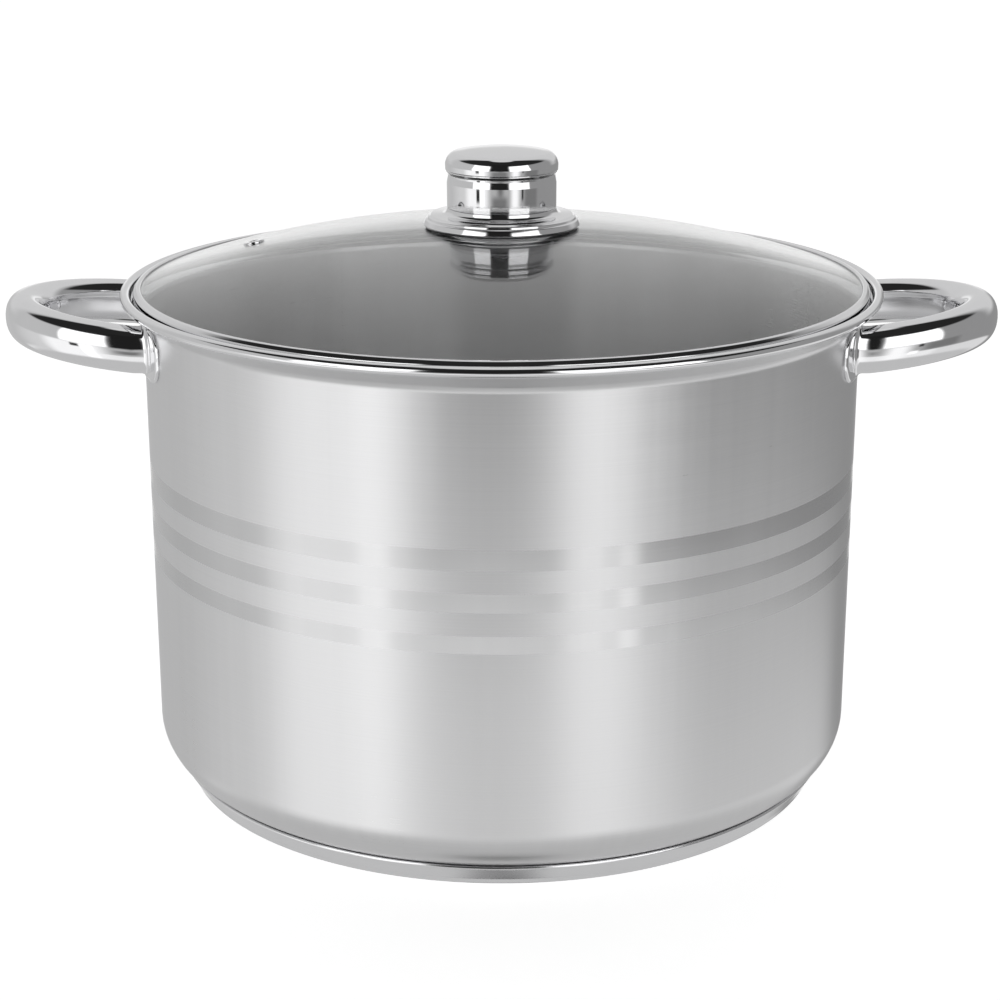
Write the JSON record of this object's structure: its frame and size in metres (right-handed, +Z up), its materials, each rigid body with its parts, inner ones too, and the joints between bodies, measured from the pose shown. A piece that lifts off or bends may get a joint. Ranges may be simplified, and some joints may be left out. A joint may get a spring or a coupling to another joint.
{
  "type": "water bath canner",
  "caption": "Wide steel canning pot with a sandwich base, two hollow loop handles, a banded glass lid with a chrome knob, and a folding-bail wire jar rack inside.",
  "frame": {"origin": "centre of the base's flat underside, on the plane that the pot stands on", "axes": "+Z up along the pot's axis, X through the middle of both handles, -Y towards the front"},
  "size_m": [0.502, 0.3819, 0.3215],
  "materials": {
    "satin_steel": "satin, with three polished bands round the wall",
    "polished_steel": "mirror polished",
    "base_aluminium": "plain, sealed inside the base",
    "lid_glass": "clear, polished",
    "silicone": "matt",
    "knob_core": "moulded, matt",
    "brass": "turned",
    "rack_wire": "bright plated wire"
  },
  "bodies": {
    "pot": {"pot_shell": "satin_steel", "base_disc": "base_aluminium", "base_cap": "polished_steel", "handle_left": "polished_steel", "handle_right": "polished_steel", "handle_feet_left": "polished_steel", "handle_feet_right": "polished_steel"},
    "lid": {"lid_glass": "lid_glass", "lid_band": "polished_steel", "vent_eyelet": "polished_steel", "knob_cap": "polished_steel", "knob_sleeve": "polished_steel", "knob_skirt": "polished_steel", "knob_core": "knob_core", "knob_insert": "brass", "knob_screw": "polished_steel", "screw_washer": "polished_steel", "lower_cup": "polished_steel", "gasket_upper": "silicone", "gasket_lower": "silicone"},
    "rack": {"rack_base_ring": "rack_wire", "rack_floor_wires": "rack_wire", "rack_cross_wires": "rack_wire", "rack_feet": "rack_wire", "rack_uprights": "rack_wire", "rack_top_ring": "rack_wire", "rack_hub_rings": "rack_wire", "rack_spokes": "rack_wire", "rack_posts": "rack_wire", "rack_eyes": "rack_wire"},
    "bail_left": {"bail_left": "rack_wire"},
    "bail_right": {"bail_right": "rack_wire"}
  },
  "joints": [
    {"name": "lid_lift", "type": "slide", "parent": "pot", "child": "lid", "axis": [0, 0, 1], "range_m": [0, 0.3]},
    {"name": "rack_lift", "type": "slide", "parent": "pot", "child": "rack", "axis": [0, 0, 1], "range_m": [0, 0.06]},
    {"name": "bail_left_fold", "type": "hinge", "parent": "rack", "child": "bail_left", "pos_m": [-0.13625, 0, 0.0722], "axis": [0, -1, 0], "range_deg": [0, 100]},
    {"name": "bail_right_fold", "type": "hinge", "parent": "rack", "child": "bail_right", "pos_m": [0.13625, 0, 0.0722], "axis": [0, 1, 0], "range_deg": [0, 100]}
  ]
}
